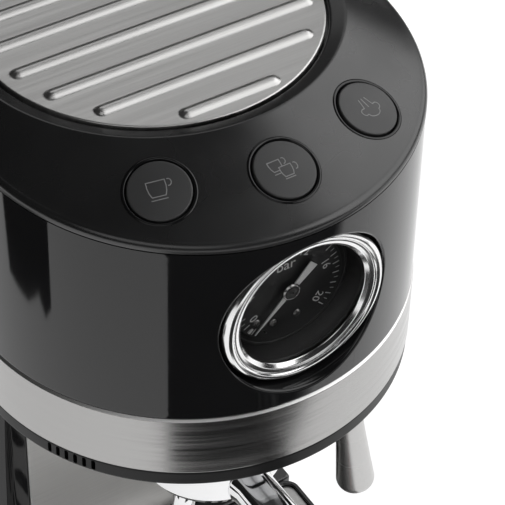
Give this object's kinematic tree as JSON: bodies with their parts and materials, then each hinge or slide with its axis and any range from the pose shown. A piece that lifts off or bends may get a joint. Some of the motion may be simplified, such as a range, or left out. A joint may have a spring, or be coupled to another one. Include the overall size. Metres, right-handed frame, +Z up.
{
  "type": "espresso machine",
  "caption": "Compact pump espresso machine with a round head, ribbed cup warmer, pressure gauge, push buttons, portafilter, steam wand, drip tray and rear water tank.",
  "frame": {"origin": "centre of the bounding box, on the surface that the feet stand on", "axes": "+Z up, -Y the front that the portafilter's handle points to, +X the right-hand side as seen from the front, where the steam knob is"},
  "size_m": [0.1942, 0.384, 0.3408],
  "materials": {
    "satin_black": "satin moulded black",
    "gloss_black": "high-gloss black",
    "dark_grey": "matt dark grey",
    "button_grey": "satin charcoal",
    "brushed_steel": "brushed stainless steel",
    "chrome": "polished chrome",
    "aluminium": "cast and turned",
    "brass": "turned brass",
    "rubber": "black silicone rubber",
    "white_plastic": "natural white plastic",
    "red_plastic": "red float",
    "dial_black": "matt black dial",
    "clear_glass": "clear gauge glass",
    "smoked_plastic": "smoked clear plastic",
    "board_green": "circuit board"
  },
  "bodies": {
    "root": {"base_cover": "dark_grey", "base_housing": "satin_black", "column_shell": "gloss_black", "control_board": "board_green", "cord_gland": "rubber", "cover_screw_1": "brushed_steel", "cover_screw_2": "brushed_steel", "cup_plate": "brushed_steel", "foot_front_left": "rubber", "foot_front_right": "rubber", "foot_rear_left": "rubber", "foot_rear_right": "rubber", "gauge_bezel": "chrome", "gauge_case": "dark_grey", "gauge_dial": "dial_black", "gauge_lens": "clear_glass", "gauge_pipe": "brass", "group_gasket": "rubber", "group_head": "aluminium", "head_floor": "dark_grey", "head_shell": "gloss_black", "pressure_hose": "white_plastic", "pump": "white_plastic", "rear_cover": "dark_grey", "ring_one_cup": "gloss_black", "ring_steam": "gloss_black", "ring_two_cups": "gloss_black", "shower_screen": "brushed_steel", "splash_panel": "brushed_steel", "steam_valve": "brass", "steel_band": "brushed_steel", "suction_hose": "white_plastic", "switch_one_cup": "white_plastic", "switch_steam": "white_plastic", "switch_two_cups": "white_plastic", "thermoblock": "aluminium", "top_cap": "satin_black", "wand_socket": "chrome"},
    "button_one_cup": {"button_one_cup": "button_grey"},
    "button_two_cups": {"button_two_cups": "button_grey"},
    "button_steam": {"button_steam": "button_grey"},
    "gauge_needle": {"gauge_needle": "brushed_steel"},
    "portafilter": {"portafilter_body": "chrome", "filter_basket": "brushed_steel", "double_spout": "chrome", "portafilter_handle": "satin_black"},
    "drip_tray": {"drip_tray": "satin_black"},
    "drip_grid": {"drip_grid": "brushed_steel"},
    "tray_float": {"tray_float": "red_plastic"},
    "water_tank": {"water_tank": "smoked_plastic", "tank_valve": "white_plastic"},
    "tank_lid": {"tank_lid": "satin_black"},
    "wand_nut": {"wand_nut": "chrome"},
    "steam_wand": {"steam_tube": "brushed_steel", "froth_sleeve": "brushed_steel", "wand_grip": "rubber"},
    "steam_knob": {"steam_knob": "satin_black"},
    "power_rocker": {"power_rocker": "gloss_black"}
  },
  "joints": [
    {"name": "press_one_cup", "type": "slide", "parent": "root", "child": "button_one_cup", "axis": [0.1809, 0.3436, -0.9215], "range_m": [0, 0.0015], "stiffness_N_per_m": 300, "springref_m": -0.002},
    {"name": "press_two_cups", "type": "slide", "parent": "root", "child": "button_two_cups", "axis": [0, 0.3818, -0.9242], "range_m": [0, 0.0015], "stiffness_N_per_m": 300, "springref_m": -0.002},
    {"name": "press_steam", "type": "slide", "parent": "root", "child": "button_steam", "axis": [-0.1809, 0.3436, -0.9215], "range_m": [0, 0.0015], "stiffness_N_per_m": 300, "springref_m": -0.002},
    {"name": "needle_turn", "type": "hinge", "parent": "root", "child": "gauge_needle", "pos_m": [-0.0111, -0.06325, 0.2817], "axis": [0, 1, 0], "range_deg": [0, 270], "stiffness_Nm_per_rad": 0.0005, "springref_deg": -11.46},
    {"name": "portafilter_turn", "type": "hinge", "parent": "root", "child": "portafilter", "pos_m": [-0.0111, -0.00825, 0.1596], "axis": [0, 0, 1], "range_deg": [-45, 0]},
    {"name": "tray_slide", "type": "slide", "parent": "root", "child": "drip_tray", "axis": [0, -1, 0], "range_m": [0, 0.12]},
    {"name": "grid_lift", "type": "slide", "parent": "drip_tray", "child": "drip_grid", "axis": [0, 0, 1], "range_m": [0, 0.03]},
    {"name": "float_rise", "type": "slide", "parent": "drip_tray", "child": "tray_float", "axis": [0, 0, 1], "range_m": [0, 0.004]},
    {"name": "tank_lift", "type": "slide", "parent": "root", "child": "water_tank", "axis": [0, 0, 1], "range_m": [0, 0.06]},
    {"name": "lid_hinge", "type": "hinge", "parent": "water_tank", "child": "tank_lid", "pos_m": [-0.0111, 0.18655, 0.3312], "axis": [-1, 0, 0], "range_deg": [0, 100]},
    {"name": "wand_swivel", "type": "hinge", "parent": "root", "child": "wand_nut", "pos_m": [0.0459, -0.01095, 0.199], "axis": [0, 0, 1], "range_deg": [-80, 60]},
    {"name": "wand_tilt", "type": "hinge", "parent": "wand_nut", "child": "steam_wand", "pos_m": [0.0459, -0.01095, 0.199], "axis": [0, -1, 0], "range_deg": [-6, 22]},
    {"name": "steam_knob_turn", "type": "hinge", "parent": "root", "child": "steam_knob", "pos_m": [0.0751, 0.06175, 0.285], "axis": [1, 0, 0], "range_deg": [0, 180]},
    {"name": "power_rock", "type": "hinge", "parent": "root", "child": "power_rocker", "pos_m": [-0.0561, 0.18625, 0.023], "axis": [1, 0, 0], "range_deg": [0, 12]}
  ]
}
